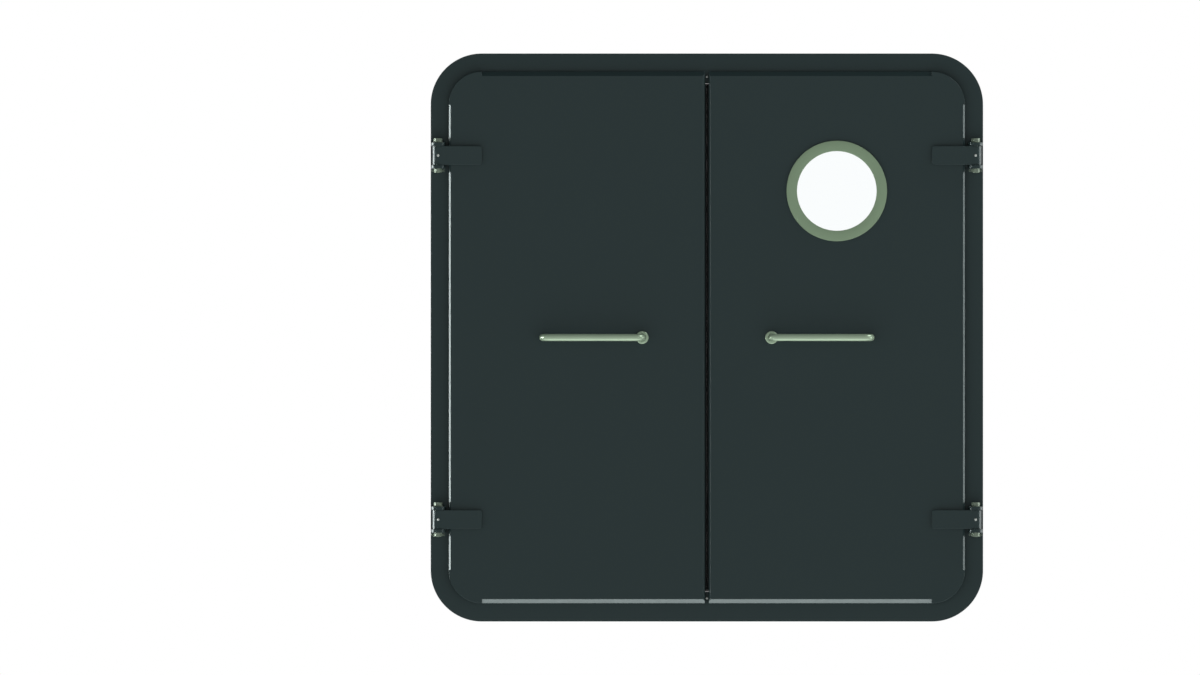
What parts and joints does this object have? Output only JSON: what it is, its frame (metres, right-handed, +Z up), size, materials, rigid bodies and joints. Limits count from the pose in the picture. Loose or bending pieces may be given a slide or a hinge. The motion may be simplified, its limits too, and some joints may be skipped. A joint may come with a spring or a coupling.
{
  "type": "double-leaf fire door",
  "caption": "Steel fire door with two hinged leaves in a round-cornered frame, strap hinges, long lever handles and a round window in one leaf.",
  "frame": {"origin": "bottom centre of the back of the frame's face plate, on the flange face that lies against the wall", "axes": "+X to the right as seen from the front, +Y back through the wall, +Z up"},
  "size_m": [1.945, 0.2068, 2],
  "materials": {
    "frame_paint": "satin dark grey-green paint",
    "leaf_paint": "satin dark grey-green paint",
    "strap_paint": "satin dark grey-green paint",
    "plated_steel": "dull zinc-plated steel",
    "seal_rubber": "matt black rubber",
    "lever_metal": "satin metal with a green-grey tone",
    "ring_metal": "satin metal with a green-grey tone",
    "fire_glass": "clear fire-resisting glass"
  },
  "bodies": {
    "frame": {"frame_head": "frame_paint", "frame_sill": "frame_paint", "frame_left_jamb": "frame_paint", "frame_right_jamb": "frame_paint", "frame_top_left_corner": "frame_paint", "frame_top_right_corner": "frame_paint", "frame_bottom_left_corner": "frame_paint", "frame_bottom_right_corner": "frame_paint", "centre_studs": "plated_steel", "left_upper_hinge_lugs": "frame_paint", "left_lower_hinge_lugs": "frame_paint", "right_upper_hinge_lugs": "frame_paint", "right_lower_hinge_lugs": "frame_paint", "hinge_bolts": "plated_steel", "hinge_nuts": "plated_steel", "hinge_split_pins": "plated_steel"},
    "left_leaf": {"left_leaf_pan": "leaf_paint", "left_leaf_casing": "leaf_paint", "left_upper_strap": "strap_paint", "left_lower_strap": "strap_paint", "left_grease_nipples": "plated_steel", "left_rim_seal": "seal_rubber", "left_meeting_seal": "seal_rubber", "left_latch_plate": "plated_steel", "left_handle_roses": "lever_metal"},
    "right_leaf": {"right_leaf_pan": "leaf_paint", "right_leaf_casing": "leaf_paint", "right_upper_strap": "strap_paint", "right_lower_strap": "strap_paint", "right_grease_nipples": "plated_steel", "right_rim_seal": "seal_rubber", "right_meeting_seal": "seal_rubber", "right_latch_plate": "plated_steel", "right_handle_roses": "lever_metal", "window_ring_front": "ring_metal", "window_ring_back": "ring_metal", "window_liner": "leaf_paint", "window_glass": "fire_glass", "window_seals": "seal_rubber"},
    "left_handle": {"left_front_lever": "lever_metal", "left_back_lever": "lever_metal", "left_spindle": "plated_steel"},
    "right_handle": {"right_front_lever": "lever_metal", "right_back_lever": "lever_metal", "right_spindle": "plated_steel"}
  },
  "joints": [
    {"name": "left_leaf_hinge", "type": "hinge", "parent": "frame", "child": "left_leaf", "pos_m": [-0.9465, -0.0343, 1], "axis": [0, 0, -1], "range_deg": [0, 120]},
    {"name": "right_leaf_hinge", "type": "hinge", "parent": "frame", "child": "right_leaf", "pos_m": [0.9465, -0.0343, 1], "axis": [0, 0, 1], "range_deg": [0, 120]},
    {"name": "left_lever_turn", "type": "hinge", "parent": "left_leaf", "child": "left_handle", "pos_m": [-0.228, -0.0343, 1], "axis": [0, -1, 0], "range_deg": [0, 45], "stiffness_Nm_per_rad": 8, "springref_deg": -57.3},
    {"name": "right_lever_turn", "type": "hinge", "parent": "right_leaf", "child": "right_handle", "pos_m": [0.228, -0.0343, 1], "axis": [0, 1, 0], "range_deg": [0, 45], "stiffness_Nm_per_rad": 8, "springref_deg": -57.3}
  ]
}
